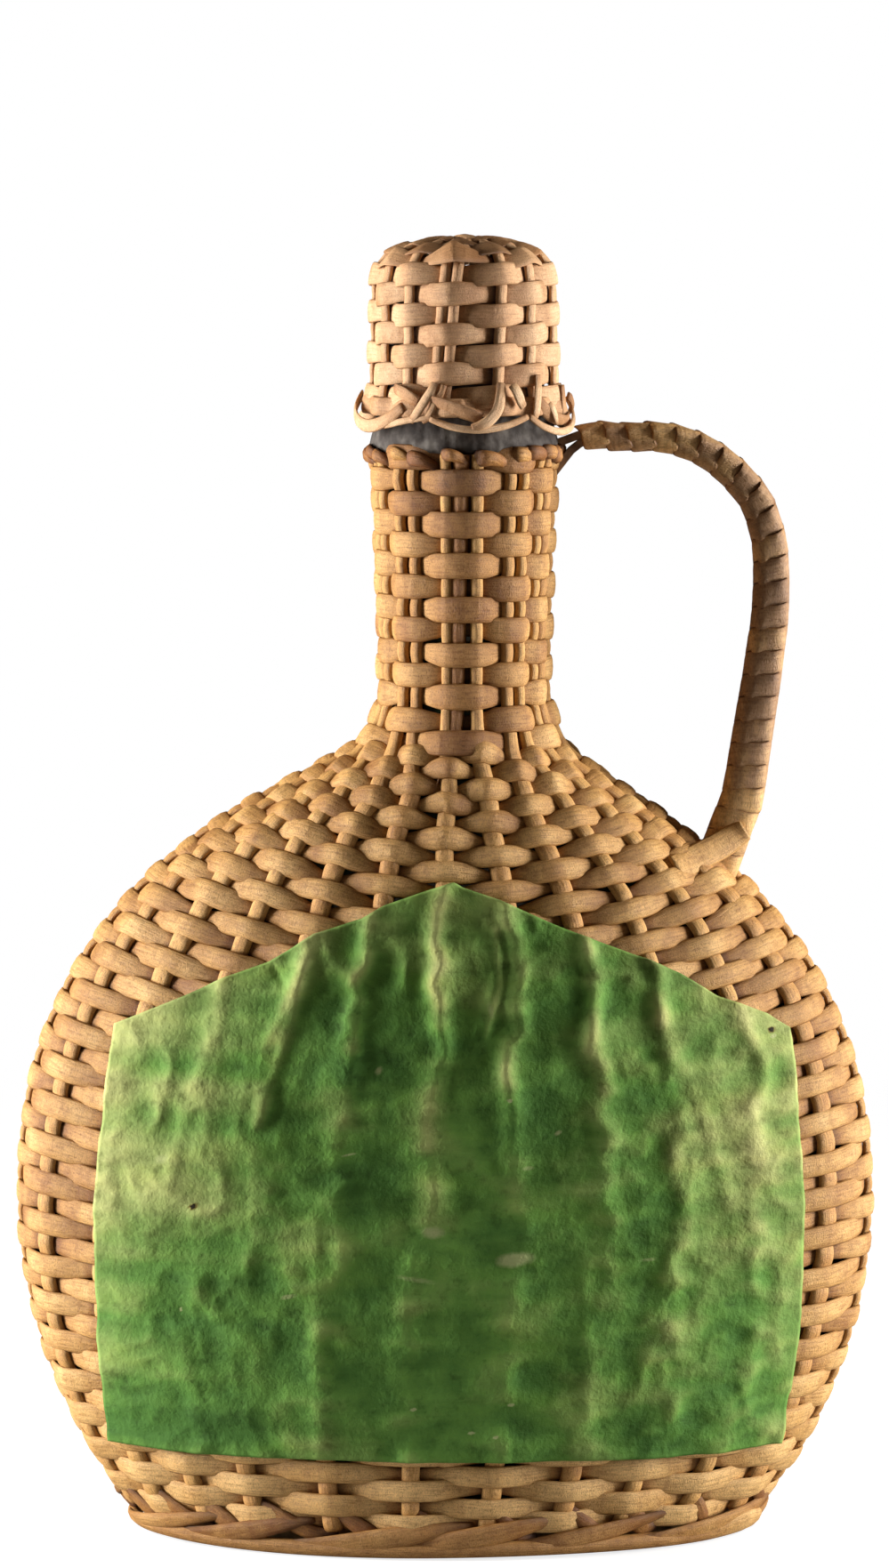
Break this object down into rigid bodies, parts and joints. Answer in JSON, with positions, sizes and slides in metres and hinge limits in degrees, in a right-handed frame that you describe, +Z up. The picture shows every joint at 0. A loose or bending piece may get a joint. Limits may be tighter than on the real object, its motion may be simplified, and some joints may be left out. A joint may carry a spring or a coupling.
{
  "type": "wicker flask",
  "caption": "Flat oval glass flask in a woven willow cover, with a bound side handle, a paper label and a woven cap over a cork.",
  "frame": {"origin": "middle of the oval foot, on the surface that the flask stands on", "axes": "+Z up; -Y towards the viewer, the side with the label; +X towards the handle. The neck's axis is upright at x = 0.0040, y = 0"},
  "size_m": [0.177, 0.0608, 0.2656],
  "materials": {
    "willow": "split willow, dry, aged to a golden brown",
    "willow_pale": "split willow, fresher and paler",
    "willow_dark": "willow skein, handled and darkened",
    "bottle_glass": "dark green blown glass",
    "lead_foil": "dull grey foil",
    "cork": "natural cork",
    "green_paper": "uncoated green paper, wrinkled over the stakes"
  },
  "bodies": {
    "flask": {"glass_flask": "bottle_glass", "foil_skirt": "lead_foil", "foot_border": "willow", "base_mat": "willow", "lower_weave": "willow", "upper_weave": "willow", "neck_weave": "willow", "neck_border": "willow", "paper_label": "green_paper", "handle_binding": "willow_dark", "handle_lath_outer": "willow_dark", "handle_lath_inner": "willow_dark", "handle_foot_strap": "willow", "stake_01": "willow", "stake_02": "willow", "stake_03": "willow", "stake_04": "willow", "stake_05": "willow", "stake_06": "willow", "stake_07": "willow", "stake_08": "willow", "stake_09": "willow", "stake_10": "willow", "stake_11": "willow", "stake_12": "willow", "stake_13": "willow", "stake_14": "willow", "stake_15": "willow", "stake_16": "willow", "stake_17": "willow", "stake_18": "willow", "stake_19": "willow", "stake_20": "willow", "stake_21": "willow", "stake_22": "willow", "stake_23": "willow", "stake_24": "willow"},
    "stopper": {"cork_stopper": "cork"},
    "cap": {"cap_wall": "willow_pale", "cap_crown": "willow_pale", "cap_hem": "willow_pale", "cap_knot": "willow_pale", "cap_rib_01": "willow_pale", "cap_rib_02": "willow_pale", "cap_rib_03": "willow_pale", "cap_rib_04": "willow_pale", "cap_rib_05": "willow_pale", "cap_rib_06": "willow_pale", "cap_rib_07": "willow_pale", "cap_rib_08": "willow_pale", "cap_rib_09": "willow_pale", "cap_rib_10": "willow_pale", "cap_rib_11": "willow_pale", "cap_rib_12": "willow_pale"}
  },
  "joints": [
    {"name": "stopper_pull", "type": "slide", "parent": "flask", "child": "stopper", "axis": [0, 0, 1], "range_m": [0, 0.036]},
    {"name": "cap_lift", "type": "slide", "parent": "stopper", "child": "cap", "axis": [0, 0, 1], "range_m": [0, 0.04]}
  ]
}
